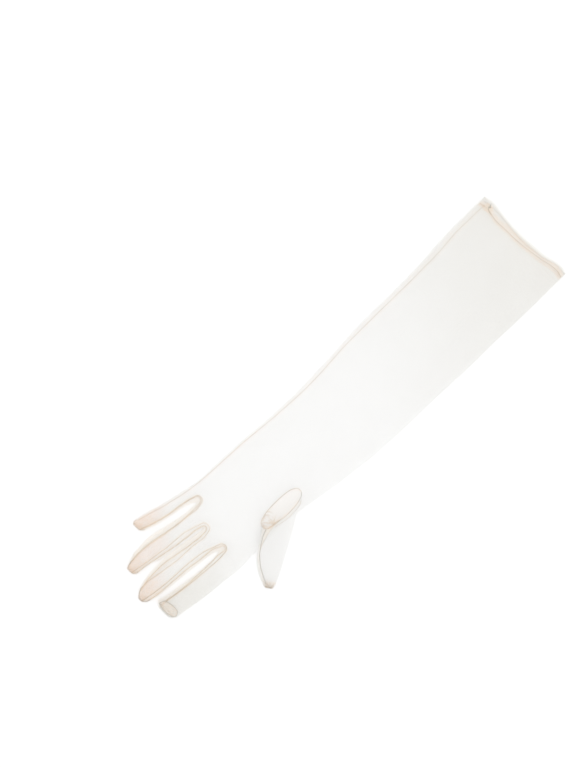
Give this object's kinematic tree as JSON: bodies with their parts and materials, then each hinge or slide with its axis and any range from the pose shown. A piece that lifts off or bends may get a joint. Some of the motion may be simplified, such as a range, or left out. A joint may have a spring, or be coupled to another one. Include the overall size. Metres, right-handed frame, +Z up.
{
  "type": "sheer mesh glove",
  "caption": "Long sheer net evening glove for the left hand, lying flat palm up: hollow sleeve, fingers and set-in thumb, narrow bound seams and a turned cuff hem.",
  "frame": {"origin": "centre of the bounding box, on the surface that the glove lies on", "axes": "+Z up out of the palm, +Y along the sleeve from the fingertips to the cuff, +X towards the thumb's side"},
  "size_m": [0.139, 0.506, 0.0143],
  "materials": {
    "net": "sheer off-white hexagonal net, matt with a faint sheen",
    "doubled_net": "the same net lying two or more layers thick, so warmer and less sheer",
    "seam_thread": "peach-beige sewing thread binding the raw edges, slightly glossy"
  },
  "bodies": {
    "root": {"trank": "net", "cuff_hem": "doubled_net", "side_seam": "seam_thread", "fourchette_little_ring": "doubled_net", "finger_seam_little_ring": "seam_thread", "fourchette_ring_middle": "doubled_net", "finger_seam_ring_middle": "seam_thread", "fourchette_middle_index": "doubled_net", "finger_seam_middle_index": "seam_thread", "thumb": "net", "thumb_hole_seam": "seam_thread", "thumb_seam": "seam_thread"}
  },
  "joints": []
}
